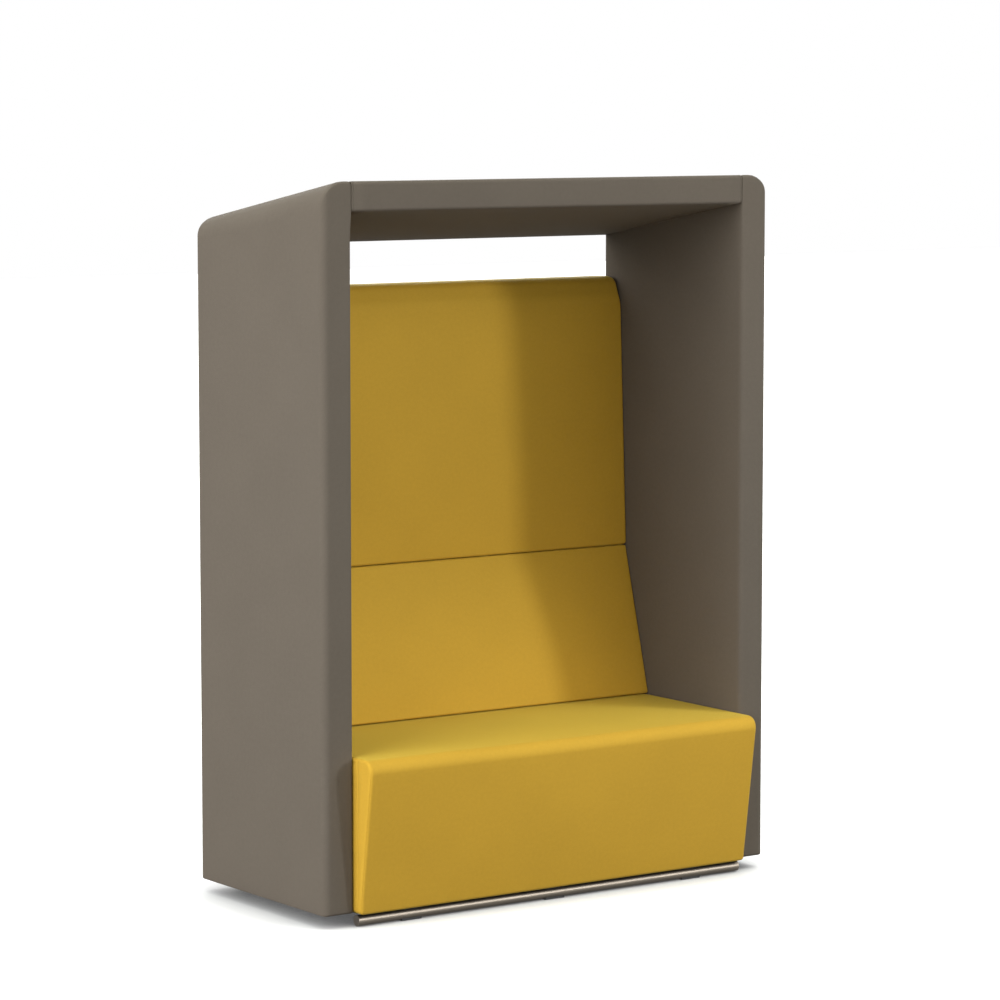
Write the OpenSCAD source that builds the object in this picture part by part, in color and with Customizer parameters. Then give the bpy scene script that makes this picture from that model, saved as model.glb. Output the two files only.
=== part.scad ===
// Two-seat high back lounge booth: upholstered side walls and a sloping roof
// round a seat and a two-part back, all carried on two tube rails.

/* [Cabin] */
// Clear width between the two side walls
cabin_width = 1238; // [900:2:1700]
// Depth of the side walls from front to rear
wall_depth = 612; // [540:2:800]
// Height of the front top edge above the floor
wall_height = 1880; // [1750:5:2200]
// How far the top falls from front to rear
wall_drop = 104; // [0:2:130]
// Thickness of a side wall
wall_thick = 87; // [76:1:140]
// Gap between the floor and the side walls
wall_gap = 35; // [20:1:60]
// Radius along the outer top edge of a side wall
wall_top_round = 64; // [20:1:70]
// Radius of the outer upright edges of a side wall
wall_edge_round = 18; // [8:1:24]
// Radius of the edges where wall and roof panels meet
panel_edge_round = 8; // [5:1:12]
// Thickness of the fabric cover on walls and roof
panel_cover = 4; // [2:0.5:6]
// Thickness of the foam on the side walls
wall_foam = 14; // [6:1:18]
// Thickness of the plywood board under a side wall
wall_base_thick = 12; // [9:1:18]
// Width of the upright posts in a wall frame
wall_post = 46; // [30:1:70]
// Height of the top rail in a wall frame
wall_top_rail = 92; // [70:1:120]
// Height of the bottom rail in a wall frame
wall_bottom_rail = 160; // [120:5:220]
// Height of the middle rails in a wall frame
wall_mid_rail = 60; // [40:1:90]
// Number of middle rails in a wall frame
wall_mid_rail_count = 2; // [1:1:3]

/* [Roof] */
// Thickness of the roof panel, measured upright
roof_thick = 76; // [60:1:90]
// Thickness of the foam on the roof panel
roof_foam = 10; // [6:1:14]
// Width of the rails of the roof frame
roof_rail = 62; // [40:1:80]
// Number of open bays in the roof frame
roof_bays = 3; // [2:1:5]

/* [Seat] */
// Height of the seat at its sides
seat_height = 431; // [390:1:470]
// Rise of the seat's crown above its sides
seat_crown = 5; // [1:0.5:8]
// How far the seat nose stands in front of the walls
seat_overhang = 76; // [40:1:110]
// Lean of the front panel, foot set back
seat_front_lean = 7.9; // [0:0.1:12]
// Bulge of the front panel
seat_front_crown = 3; // [0.5:0.5:4]
// Radius of the seat nose
seat_nose_round = 55; // [30:1:70]
// Radius of the seat's side edges
seat_side_round = 8; // [6:1:14]
// Height of the seat's underside above the floor
seat_foot_gap = 34; // [32:1:60]
// Depth of the ribs behind the seat box
rib_foot_depth = 146.7; // [120:0.1:160]
// Thickness of the foam above the webbing
seat_foam_thick = 110; // [60:5:150]
// Thickness of the foam in front of the front board
seat_apron_foam = 24; // [10:1:30]
// Thickness of the plywood boards of the seat box
seat_board = 18; // [12:1:24]
// Depth of the batten behind the front board
seat_batten_depth = 90; // [70:5:140]
// Number of webbing belts in each half of the seat
belts_per_half = 5; // [3:1:7]
// Width of a webbing belt
belt_width = 60; // [40:1:70]
// Thickness of a webbing belt
belt_thick = 2; // [1:0.5:3]

/* [Back] */
// Distance from the seat nose to the foot of the lower back pad
sitting_depth = 476; // [450:1:490]
// Height of the joint between the lower and the upper back pad
back_seam_height = 842; // [760:2:900]
// Height of the open window between the top of the back and the roof, at the rear
back_window_height = 111; // [60:1:250]
// Depth of the upper back pad at the joint
upper_back_depth = 97.4; // [90:0.2:110]
// Depth of the upper back pad at its top, before the soft slope is taken off
upper_back_top_depth = 65.4; // [62:0.2:90]
// How far the upper pad stands before the lower one at the joint
upper_back_step = 3; // [0:1:10]
// Bulge of the back pads at their middle
back_crown = 6; // [1:0.5:8]
// Radius of the edges of the back pads
back_edge_round = 6; // [5:1:14]
// Height of the soft slope at the top of the upper pad
back_top_rise = 75; // [40:1:90]
// Depth of the soft slope at the top of the upper pad
back_top_run = 30; // [10:1:32]
// Thickness of the foam in the lower back pad
lower_back_foam_thick = 45; // [30:1:48]
// Thickness of the foam in the upper back pad
upper_back_foam_thick = 30; // [20:1:33]
// Thickness of the fabric and wadding round the seat and back pads
pad_cover = 10; // [9:0.5:12]
// Thickness of the plywood boards behind the pads
back_board = 12; // [9:1:14]
// Thickness of the plywood ribs that carry the back
rib_thick = 18; // [12:1:24]
// Height of the rails between the ribs
back_rail_height = 60; // [40:1:90]
// Thickness of the upholstered panel at the rear
rear_panel_thick = 10; // [8:0.5:12]
// Thickness of the board in the rear panel
rear_board_thick = 4; // [3:0.5:5]
// How far the rear panel stops below the top of the back
rear_panel_top_gap = 30; // [20:1:32]

/* [Rails] */
// Outer diameter of the tube rails
rail_dia = 28; // [22:1:30]
// Wall thickness of the tube rails
rail_wall = 2.5; // [1.5:0.5:4]
// Gap between a rail end and the line of the side wall
rail_end_gap = 7; // [2:1:40]
// Distance from the seat nose back to the middle of the front rail
front_rail_setback = 76; // [66:1:84]
// Distance from the rear of the walls to the middle of the rear rail
rear_rail_setback = 52; // [40:1:70]
// Thickness of a glide under a rail
glide_thick = 2; // [1:0.5:4]
// Length of a glide along its rail
glide_length = 60; // [30:1:90]
// Width of a glide across its rail
glide_width = 20; // [14:1:22]
// Width of a saddle that carries the seat on a rail
saddle_width = 50; // [40:1:80]
// Length of a saddle plate
saddle_length = 100; // [90:1:110]
// Thickness of a saddle plate
saddle_plate = 4; // [3:0.5:6]
// Distance from the middle to the outer saddles
saddle_reach = 450; // [300:5:540]

/* [Fasteners] */
// Diameter of the studs that join walls, seat, back and roof
stud_dia = 10; // [6:1:12]
// How deep a stud sits in a wall frame
stud_grip = 34; // [20:1:38]
// Diameter of the wood screws
screw_dia = 4.5; // [3:0.5:5]
// Length of the wood screws
screw_length = 28; // [22:1:30]

/* [Hidden] */

taupe = "#7d7468";
mustard = "#b58f2e";
foam_colour = "#e8dfc0";
timber = "#c9a676";
felt_colour = "#8f9296";
steel = "#a99e90";
zinc = "#b9bcc0";
black = "#26262a";

// Clearance between nested layers, and between soft pieces and their neighbours
fit = 0.3;
pad_gap = 0.5;
seam_gap = 0.6;
overrun = 5;
round_least = 1;
hole_gap = 0.5;
cloth_thick = 1.2;
cap_root_share = 0.1;
$fn = 48;

// Places that everything else follows; the origin is on the floor under the middle
body_depth = wall_depth + seat_overhang;
nose_y = -body_depth / 2;
front_y = nose_y + seat_overhang;
rear_y = body_depth / 2;
pad_rear_y = rear_y - rear_panel_thick - fit;
seat_rear_y = pad_rear_y - rib_foot_depth;
back_height = wall_height - wall_drop - roof_thick - back_window_height;
cabin_half = cabin_width / 2;
roof_slope = atan(wall_drop / wall_depth);
pad_width = cabin_width - 2 * pad_gap;
pad_core_width = pad_width - 2 * pad_cover - 2 * fit;

// Plane geometry helpers, for convex outlines that run counter-clockwise
function unit(v) = v / norm(v);
function wrap(list, i) = list[(i + len(list)) % len(list)];
function meet(p, u, q, v) =
    p + u * (((q[0] - p[0]) * v[1] - (q[1] - p[1]) * v[0]) / (u[0] * v[1] - u[1] * v[0]));
function inward(u) = [-u[1], u[0]];
function half_angle(a, b, c) = acos(unit(a - b) * unit(c - b)) / 2;
function arc_centre(a, b, c, r) = b + unit(unit(a - b) + unit(c - b)) * r / sin(half_angle(a, b, c));
function tangent_length(a, b, c, r) = r / tan(half_angle(a, b, c));
function heading(v) = atan2(v[1], v[0]);

// The corners of an outline with each side moved inward by its own distance
function inset_sides(corners, distances) = [
    for (i = [0 : len(corners) - 1])
        let (
            a = wrap(corners, i - 1),
            b = corners[i],
            c = wrap(corners, i + 1),
            u = unit(b - a),
            v = unit(c - b)
        )
        meet(b + inward(u) * wrap(distances, i - 1), u, b + inward(v) * distances[i], v)
];
function inset(corners, distance) = inset_sides(corners, [for (c = corners) distance]);
function less_round(radii, distance) = [for (r = radii) max(r - distance, round_least)];

// A flat shape with true arcs at its corners: straight runs, then an arc's cap over each cut corner
module rounded_shape(corners, radii) {
    last = len(corners) - 1;
    cuts = [
        for (i = [0 : last])
            let (
                a = wrap(corners, i - 1),
                b = corners[i],
                c = wrap(corners, i + 1),
                t = tangent_length(a, b, c, radii[i])
            )
            [b + unit(a - b) * t, b + unit(c - b) * t]
    ];
    polygon([for (cut = cuts) each cut]);
    for (i = [0 : last]) {
        centre = arc_centre(wrap(corners, i - 1), corners[i], wrap(corners, i + 1), radii[i]);
        chord = (cuts[i][0] + cuts[i][1]) / 2;
        intersection() {
            translate(centre)
                circle(r = radii[i]);
            polygon([cuts[i][0], corners[i], cuts[i][1], chord + (centre - chord) * cap_root_share]);
        }
    }
}

// A shape drawn in depth and height, given a width across the booth
module across(width) {
    rotate([90, 0, 90])
        linear_extrude(width, center = true)
            children();
}

// Pads: a rounded outline whose sides bulge, drawn in toward both ends
arc_steps = 6;
side_steps = 3;
edge_angles = [90, 60, 30, 0];
crown_shares = [-1, -0.86, -0.62, -0.32, 0, 0.32, 0.62, 0.86, 1];

function swell(share) = 1 - pow(share, 4);

function pad_outline(corners, radii, bulges, rise, steps = side_steps) = [
    for (i = [0 : len(corners) - 1])
        let (
            a = wrap(corners, i - 1),
            b = corners[i],
            c = wrap(corners, i + 1),
            d = wrap(corners, i + 2),
            r = radii[i],
            centre = arc_centre(a, b, c, r),
            start = heading(b + unit(a - b) * tangent_length(a, b, c, r) - centre),
            sweep = 180 - 2 * half_angle(a, b, c),
            from = b + unit(c - b) * tangent_length(a, b, c, r),
            to = c + unit(b - c) * tangent_length(b, c, d, wrap(radii, i + 1)),
            out = -inward(unit(c - b)) * bulges[i] * rise
        )
        each concat(
            [for (k = [0 : arc_steps])
                centre + r * [cos(start + sweep * k / arc_steps), sin(start + sweep * k / arc_steps)]],
            [for (k = [1 : 1 : steps])
                let (s = k / (steps + 1))
                from + (to - from) * s + out * swell(2 * s - 1)]
        )
];

// Stations across the pad: place across, inset from the side round, share of the crown
function pad_stations(width, side_round) =
    let (flat = width / 2 - side_round)
    concat(
        [for (a = edge_angles) if (a > 0) [-flat - side_round * sin(a), side_round * (1 - cos(a)), 0]],
        [for (s = crown_shares) [flat * s, 0, swell(s)]],
        [for (k = [len(edge_angles) - 1 : -1 : 0])
            let (a = edge_angles[k])
            if (a > 0) [flat + side_round * sin(a), side_round * (1 - cos(a)), 0]]
    );

// The hollow of a pad's cover, from the side
module pad_hollow_2d(corners, radii) {
    polygon(pad_outline(corners, radii, [for (c = corners) 0], 0, 0));
}

module pad_form(corners, radii, bulges, width, side_round) {
    stations = pad_stations(width, side_round);
    rings = [
        for (s = stations)
            [for (p = pad_outline(inset(corners, s[1]), less_round(radii, s[1]), bulges, s[2]))
                [s[0], p[0], p[1]]]
    ];
    count = len(rings[0]);
    ends = (len(rings) - 1) * count;
    apex = floor(arc_steps / 2);
    around = [for (j = [0 : count - 1]) (apex + j) % count];
    polyhedron(
        points = [for (ring = rings) each ring],
        faces = concat(
            [for (i = [0 : len(rings) - 2], j = [0 : count - 1])
                let (a = i * count + j, b = i * count + (j + 1) % count)
                each [[a, a + count, b], [b, a + count, b + count]]],
            [for (j = [1 : count - 2]) [apex, around[j], around[j + 1]]],
            [for (j = [1 : count - 2]) [ends + apex, ends + around[j + 1], ends + around[j]]]
        )
    );
}

// Side walls, modelled as the right wall with its inner face on the plane of the cabin side
wall_outline = [
    [0, wall_gap], [wall_depth, wall_gap], [wall_depth, wall_height - wall_drop], [0, wall_height]
];
wall_profile_radii = [for (c = wall_outline) panel_edge_round];
wall_core_inset = panel_cover + wall_foam + 2 * fit;
wall_core_bottom = wall_base_thick + fit;

module wall_form(distance, bottom) {
    plan = inset([[0, 0], [wall_thick, 0], [wall_thick, wall_depth], [0, wall_depth]], distance);
    plan_radii = [panel_edge_round, wall_edge_round, wall_edge_round, panel_edge_round];
    section = inset_sides(
        [[0, -wall_height], [wall_thick, -wall_height], [wall_thick, 0], [0, 0]],
        [0, distance, distance, distance]
    );
    section_radii = [panel_edge_round, panel_edge_round, wall_top_round, panel_edge_round];
    intersection() {
        translate([0, 0, -overrun])
            linear_extrude(wall_height + 2 * overrun)
                rounded_shape(plan, less_round(plan_radii, distance));
        translate([wall_thick / 2, 0, 0])
            across(wall_thick)
                rounded_shape(
                    inset_sides(wall_outline, [bottom, distance, distance, distance]),
                    less_round(wall_profile_radii, distance)
                );
        translate([0, 0, wall_height])
            rotate([-roof_slope, 0, 0])
                rotate([90, 0, 0])
                    linear_extrude(2 * (wall_height + wall_depth), center = true)
                        rounded_shape(section, less_round(section_radii, distance));
    }
}

module place_right_wall() {
    translate([cabin_half, front_y, 0])
        children();
}

module place_left_wall() {
    mirror([1, 0, 0])
        place_right_wall()
            children();
}

module wall_cover() {
    difference() {
        wall_form(0, 0);
        wall_form(panel_cover, -overrun);
        wall_stud_holes();
    }
}

module wall_foam_skin() {
    difference() {
        wall_form(panel_cover + fit, wall_core_bottom);
        wall_form(panel_cover + fit + wall_foam, -overrun);
        wall_stud_holes();
    }
}

// The bays between the posts and rails, each side moved inward by a clearance
module wall_bay_prisms(clearance) {
    bays = wall_mid_rail_count + 1;
    core = inset_sides(
        wall_outline,
        [wall_core_bottom, wall_core_inset, wall_core_inset, wall_core_inset]
    );
    zone = inset_sides(core, [wall_bottom_rail, wall_post, wall_top_rail, wall_post]);
    low = zone[0][1];
    pitch = (zone[2][1] - low + wall_mid_rail) / bays;
    for (i = [0 : bays - 1]) {
        bottom = low + i * pitch;
        top = (i == bays - 1) ? wall_height : bottom + pitch - wall_mid_rail;
        translate([wall_thick / 2, 0, 0])
            intersection() {
                across(wall_thick)
                    polygon(inset(zone, clearance));
                across(wall_thick)
                    translate([0, bottom + clearance])
                        square([wall_depth, top - bottom - 2 * clearance]);
            }
    }
}

module wall_frame() {
    difference() {
        wall_form(wall_core_inset, wall_core_bottom);
        wall_bay_prisms(0);
        wall_stud_holes();
    }
}

module wall_absorber() {
    intersection() {
        wall_form(wall_core_inset, wall_core_bottom);
        wall_bay_prisms(fit);
    }
}

module wall_base() {
    intersection() {
        wall_form(panel_cover + fit, 0);
        translate([0, 0, wall_gap])
            cube([wall_thick, wall_depth, wall_base_thick]);
    }
}

// Studs: [depth, height, inner end] in the wall's own frame, one list for the whole booth
stud_reach = wall_core_inset + stud_grip;
nut_thick = 8;
nut_across = 17;
seat_stud_z = 150;
seat_stud_margin = 70;
lower_stud_share = 0.4;
upper_stud_share = 0.21;
back_stud_heights = [
    seat_height + (back_seam_height - seat_height) * lower_stud_share,
    back_seam_height + (back_height - back_seam_height) * upper_stud_share
];
back_stud_margin = 20;
roof_stud_margin = 110;
roof_end_rail = 30;
seat_side_inner = pad_gap + pad_cover + fit + seat_board;
rib_inner = pad_gap + pad_cover + fit + rib_thick;
roof_end_inner = pad_gap + panel_cover + fit + roof_end_rail;
function roof_middle(y) = wall_height - wall_drop * y / wall_depth - roof_thick / 2;
stud_places = concat(
    [for (y = [seat_stud_margin, seat_rear_y - front_y - seat_stud_margin])
        [y, seat_stud_z, seat_side_inner]],
    [for (z = back_stud_heights) [pad_rear_y - front_y - back_stud_margin, z, rib_inner]],
    [for (y = [roof_stud_margin, wall_depth - roof_stud_margin]) [y, roof_middle(y), roof_end_inner]]
);

module stud_bars(radius, inner, outer) {
    for (p = stud_places)
        translate([-p[2] - inner, p[0], p[1]])
            rotate([0, 90, 0])
                cylinder(r = radius, h = p[2] + inner + outer);
}

module wall_stud_holes() {
    stud_bars(stud_dia / 2 + hole_gap, 0, stud_reach + hole_gap);
}

module both_side_stud_holes() {
    place_right_wall()
        wall_stud_through();
    place_left_wall()
        wall_stud_through();
}

module wall_stud_through() {
    stud_bars(stud_dia / 2 + hole_gap, overrun, 0);
}

// Room round the nuts at the studs' inner ends
module nut_pockets() {
    pocket = nut_across / cos(30) / 2 + hole_gap;
    place_right_wall()
        stud_bars(pocket, nut_thick + overrun, 0);
    place_left_wall()
        stud_bars(pocket, nut_thick + overrun, 0);
}

// Roof panel between the walls
roof_width = cabin_width - 2 * pad_gap;
roof_outline = [
    [front_y, wall_height - roof_thick],
    [rear_y, wall_height - wall_drop - roof_thick],
    [rear_y, wall_height - wall_drop],
    [front_y, wall_height]
];
roof_radii = [for (c = roof_outline) panel_edge_round];
roof_core_inset = panel_cover + roof_foam + 2 * fit;
roof_core_width = roof_width - 2 * panel_cover - 2 * fit;

module roof_form(distance, width) {
    across(width)
        rounded_shape(inset(roof_outline, distance), less_round(roof_radii, distance));
}

module roof_bay_prisms(clearance) {
    inner = roof_core_width - 2 * roof_end_rail;
    pitch = (inner + roof_rail) / roof_bays;
    size = [pitch - roof_rail, wall_depth - 2 * roof_core_inset - 2 * roof_rail];
    for (i = [0 : roof_bays - 1])
        translate([-inner / 2 + i * pitch + clearance, front_y + roof_core_inset + roof_rail + clearance, 0])
            linear_extrude(wall_height + overrun)
                square([size[0] - 2 * clearance, size[1] - 2 * clearance]);
}

// Seat box, from the side; the nose reaches the very front of the booth
seat_foot_y = nose_y + (seat_height - seat_nose_round - seat_foot_gap) * tan(seat_front_lean)
    - seat_nose_round * (1 / cos(seat_front_lean) - 1);
seat_corner_y = seat_foot_y - (seat_height - seat_foot_gap) * tan(seat_front_lean);
seat_edge_round = 8;
seat_outline = [
    [seat_foot_y, seat_foot_gap],
    [seat_rear_y, seat_foot_gap],
    [seat_rear_y, seat_height],
    [seat_corner_y, seat_height]
];
seat_radii = [seat_edge_round, seat_edge_round, seat_edge_round, seat_nose_round];
seat_bulges = [0, 0, seat_crown, seat_front_crown];
seat_inner = pad_cover + fit;
box_outline = inset_sides(
    seat_outline,
    [0, seat_inner, seat_inner + seat_foam_thick + fit + belt_thick, seat_inner + seat_apron_foam + fit]
);
box_top = box_outline[2][1];

// Back: each pad's front face as a line of depth over height
lower_bottom_z = seat_height + seat_crown;
lower_top_z = back_seam_height - seam_gap / 2;
upper_bottom_z = back_seam_height + seam_gap / 2;
lower_foot_y = nose_y + sitting_depth;
joint_y = pad_rear_y - upper_back_depth;
lower_back_lean = atan((joint_y + upper_back_step - lower_foot_y) / (back_seam_height - lower_bottom_z));
upper_back_lean = atan((upper_back_depth - upper_back_top_depth) / (back_height - back_seam_height));
function lower_face(z) = lower_foot_y + (z - lower_bottom_z) * tan(lower_back_lean);
function upper_face(z) = joint_y + (z - back_seam_height) * tan(upper_back_lean);
lower_depth = pad_cover + lower_back_foam_thick + back_board + 2 * fit;
upper_depth = pad_cover + upper_back_foam_thick + back_board + 2 * fit;
rib_top_z = back_height - pad_cover - upper_back_foam_thick - fit;

// A leaning slab between two depths behind a face, and between two heights
function lower_slab(near, far, low, high) = [
    [lower_face(low) + near, low],
    [lower_face(low) + far, low],
    [lower_face(high) + far, high],
    [lower_face(high) + near, high]
];
function upper_slab(near, far, low, high) = [
    [upper_face(low) + near, low],
    [upper_face(low) + far, low],
    [upper_face(high) + far, high],
    [upper_face(high) + near, high]
];

lower_radii = [back_edge_round, round_least, round_least, back_edge_round];
lower_bulges = [0, 0, 0, back_crown];
top_slope_low_round = 110;
top_slope_high_round = 36;
upper_outline = [
    [upper_face(upper_bottom_z), upper_bottom_z],
    [pad_rear_y, upper_bottom_z],
    [pad_rear_y, back_height],
    [upper_face(back_height) + back_top_run, back_height],
    [upper_face(back_height - back_top_rise), back_height - back_top_rise]
];
upper_radii = [back_edge_round, round_least, round_least, top_slope_high_round, top_slope_low_round];
upper_bulges = [0, 0, 0, 0, back_crown];

// The ribs stand behind the boards, from the seat's underside to the top
rib_outline = [
    [seat_rear_y + fit, seat_foot_gap],
    [pad_rear_y, seat_foot_gap],
    [pad_rear_y, rib_top_z],
    [upper_face(rib_top_z) + upper_depth + fit, rib_top_z],
    [upper_face(back_seam_height) + upper_depth + fit, back_seam_height],
    [lower_face(back_seam_height) + lower_depth + fit, back_seam_height],
    [lower_face(lower_bottom_z) + lower_depth + fit, lower_bottom_z],
    [lower_face(lower_bottom_z) + lower_depth + fit, lower_bottom_z - fit],
    [seat_rear_y + fit, lower_bottom_z - fit]
];
rib_outer_x = pad_core_width / 2 - rib_thick / 2;
rib_shares = [-1, -1 / 3, 1 / 3, 1];
rib_spacing = rib_outer_x * 2 / 3;

module ribs_2d() {
    polygon(rib_outline);
}

module left_wall_cover() {
    color(taupe) place_left_wall() wall_cover();
}

module right_wall_cover() {
    color(taupe) place_right_wall() wall_cover();
}

module left_wall_foam() {
    color(foam_colour) place_left_wall() wall_foam_skin();
}

module right_wall_foam() {
    color(foam_colour) place_right_wall() wall_foam_skin();
}

module left_wall_frame() {
    color(timber) place_left_wall() wall_frame();
}

module right_wall_frame() {
    color(timber) place_right_wall() wall_frame();
}

module left_wall_absorber() {
    color(felt_colour) place_left_wall() wall_absorber();
}

module right_wall_absorber() {
    color(felt_colour) place_right_wall() wall_absorber();
}

module left_wall_base() {
    color(timber) place_left_wall() wall_base();
}

module right_wall_base() {
    color(timber) place_right_wall() wall_base();
}

module roof_cover() {
    color(taupe)
        difference() {
            roof_form(0, roof_width);
            roof_form(panel_cover, roof_width - 2 * panel_cover);
            both_side_stud_holes();
        }
}

module roof_foam_skin() {
    color(foam_colour)
        difference() {
            roof_form(panel_cover + fit, roof_core_width);
            roof_form(panel_cover + fit + roof_foam, roof_core_width + 2 * overrun);
        }
}

module roof_frame() {
    color(timber)
        difference() {
            roof_form(roof_core_inset, roof_core_width);
            roof_bay_prisms(0);
            both_side_stud_holes();
        }
}

module roof_absorber() {
    color(felt_colour)
        difference() {
            intersection() {
                roof_form(roof_core_inset, roof_core_width);
                roof_bay_prisms(fit);
            }
            nut_pockets();
        }
}

module seat_cover() {
    color(mustard)
        difference() {
            difference() {
                pad_form(seat_outline, seat_radii, seat_bulges, pad_width, seat_side_round);
                across(pad_width - 2 * pad_cover)
                    pad_hollow_2d(
                        inset_sides(seat_outline, [-overrun, pad_cover, pad_cover, pad_cover]),
                        less_round(seat_radii, pad_cover)
                    );
            }
            seat_cover_holes();
        }
}

module seat_cover_holes() {
    both_side_stud_holes();
    seat_bolt_bars(hole_gap, overrun);
}

module seat_foam() {
    color(foam_colour)
        difference() {
            across(pad_core_width)
                rounded_shape(
                    inset_sides(seat_outline, [0, seat_inner, seat_inner, seat_inner]),
                    less_round(seat_radii, seat_inner)
                );
            across(pad_width)
                polygon(inset_sides(box_outline, [-overrun, -overrun, -belt_thick - fit, -fit]));
        }
}

module seat_webbing() {
    half = (pad_core_width - 3 * seat_board) / 2;
    pitch = half / belts_per_half;
    length = box_outline[2][0] - box_outline[3][0];
    color(black)
        for (side = [0, 1], i = [0 : belts_per_half - 1])
            translate([
                -pad_core_width / 2 + seat_board + side * (half + seat_board) + (i + 0.5) * pitch
                    - belt_width / 2,
                box_outline[3][0],
                box_top
            ])
                cube([belt_width, length, belt_thick]);
}

module seat_frame() {
    bay = (pad_core_width - 3 * seat_board) / 2;
    color(timber)
        difference() {
            across(pad_core_width)
                polygon(box_outline);
            for (side = [-1, 1])
                translate([side * (bay + seat_board) / 2, 0, 0])
                    difference() {
                        across(bay)
                            polygon(inset_sides(box_outline, [-overrun, seat_board, -overrun, seat_board]));
                        translate([-bay, box_outline[0][0] - overrun, seat_foot_gap - 2 * overrun])
                            cube([2 * bay, seat_batten_depth + overrun, seat_board + 2 * overrun]);
                    }
            both_side_stud_holes();
            seat_bolt_bars(hole_gap, overrun);
            saddle_screw_bars(0);
        }
}

module dust_cloth() {
    color(black)
        difference() {
            translate([-pad_core_width / 2, box_outline[0][0], seat_foot_gap - cloth_thick])
                cube([pad_core_width, pad_rear_y - box_outline[0][0], cloth_thick]);
            saddle_screw_bars(hole_gap);
        }
}

module lower_back_cover() {
    color(mustard)
        difference() {
            pad_form(
                lower_slab(0, lower_depth, lower_bottom_z, lower_top_z),
                lower_radii, lower_bulges, pad_width, back_edge_round
            );
            across(pad_width - 2 * pad_cover)
                polygon(lower_slab(
                    pad_cover, lower_depth + overrun, lower_bottom_z + pad_cover, lower_top_z - pad_cover
                ));
        }
}

module lower_back_foam() {
    near = pad_cover + fit;
    color(foam_colour)
        across(pad_core_width)
            polygon(lower_slab(
                near, near + lower_back_foam_thick, lower_bottom_z + near, lower_top_z - near
            ));
}

module lower_back_board() {
    near = pad_cover + fit;
    color(timber)
        difference() {
            across(pad_core_width)
                polygon(lower_slab(
                    lower_depth - back_board, lower_depth, lower_bottom_z + near, lower_top_z - near
                ));
            board_screw_bars(hole_gap);
        }
}

// The space behind the upper board, open to the rear and below, for the ribs
module upper_rib_space_2d(near, clearance) {
    low = upper_bottom_z - overrun;
    high = rib_top_z + clearance;
    polygon([
        [upper_face(low) + near, low],
        [pad_rear_y + overrun, low],
        [pad_rear_y + overrun, high],
        [upper_face(high) + near, high]
    ]);
}

module upper_back_cover() {
    color(mustard)
        difference() {
            difference() {
                pad_form(upper_outline, upper_radii, upper_bulges, pad_width, back_edge_round);
                across(pad_width - 2 * pad_cover)
                    union() {
                        pad_hollow_2d(inset(upper_outline, pad_cover), less_round(upper_radii, pad_cover));
                        upper_rib_space_2d(upper_depth, fit);
                    }
            }
            both_side_stud_holes();
        }
}

module upper_back_foam() {
    near = pad_cover + fit;
    color(foam_colour)
        difference() {
            across(pad_core_width)
                rounded_shape(inset(upper_outline, near), less_round(upper_radii, near));
            across(pad_width)
                upper_rib_space_2d(near + upper_back_foam_thick, fit);
        }
}

module upper_back_board() {
    near = pad_cover + fit;
    color(timber)
        difference() {
            across(pad_core_width)
                polygon(upper_slab(
                    upper_depth - back_board, upper_depth, upper_bottom_z + near, rib_top_z
                ));
            board_screw_bars(hole_gap);
        }
}

module back_ribs() {
    color(timber)
        difference() {
            for (share = rib_shares)
                translate([share * rib_outer_x, 0, 0])
                    across(rib_thick)
                        ribs_2d();
            both_side_stud_holes();
            board_screw_bars(0);
        }
}

// Rails between the ribs: a board at the foot, a rail behind the joint, and one at the top
module back_rails() {
    gap = rib_spacing - rib_thick;
    color(timber)
        difference() {
            for (share = [-1, 0, 1])
                translate([share * rib_spacing, 0, 0])
                    intersection() {
                        across(gap)
                            ribs_2d();
                        union() {
                            rail_band(seat_foot_gap, seat_board);
                            rail_band(seat_bolt_z - back_rail_height / 2, back_rail_height);
                            rail_band(back_seam_height - back_rail_height, back_rail_height);
                            rail_band(rib_top_z - back_rail_height, back_rail_height);
                        }
                    }
            saddle_screw_bars(0);
            seat_bolt_bars(0, 0);
        }
}

module rail_band(bottom, height) {
    translate([-cabin_half, seat_rear_y, bottom])
        cube([cabin_width, wall_depth, height]);
}

// Rear panel: a thin board in a fabric tray
rear_panel_low = seat_foot_gap;
rear_panel_high = back_height - rear_panel_top_gap;
rear_panel_round = 4;
rear_outline = [
    [rear_y - rear_panel_thick, rear_panel_low],
    [rear_y, rear_panel_low],
    [rear_y, rear_panel_high],
    [rear_y - rear_panel_thick, rear_panel_high]
];

module rear_panel_cover() {
    color(taupe)
        difference() {
            across(pad_width)
                rounded_shape(rear_outline, [round_least, rear_panel_round, rear_panel_round, round_least]);
            across(pad_width - 2 * panel_cover)
                polygon(inset_sides(
                    rear_outline,
                    [panel_cover, rear_panel_thick - rear_board_thick - fit, panel_cover, -overrun]
                ));
        }
}

module rear_panel_board() {
    edge = panel_cover + fit;
    color(timber)
        across(pad_width - 2 * edge)
            polygon(inset_sides(
                rear_outline,
                [edge, rear_panel_thick - rear_board_thick, edge, 0]
            ));
}

// Tube rails, their end caps, glides and saddles
rail_radius = rail_dia / 2;
rail_z = glide_thick + rail_radius;
cap_flange = 2;
cap_plug = 18;
rail_length = cabin_width - 2 * rail_end_gap - 2 * cap_flange;
front_rail_y = nose_y + front_rail_setback;
rear_rail_y = rear_y - rear_rail_setback;
saddle_shares = [-1, 0, 1];
saddle_top = seat_foot_gap - cloth_thick;
saddle_block = 16;
plate_margin = 20;

module along_rail(y, radius, length) {
    translate([0, y, rail_z])
        rotate([0, 90, 0])
            cylinder(r = radius, h = length, center = true);
}

module rail(y) {
    color(steel)
        difference() {
            along_rail(y, rail_radius, rail_length);
            along_rail(y, rail_radius - rail_wall, rail_length + overrun);
        }
}

module front_rail() {
    rail(front_rail_y);
}

module rear_rail() {
    rail(rear_rail_y);
}

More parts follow.
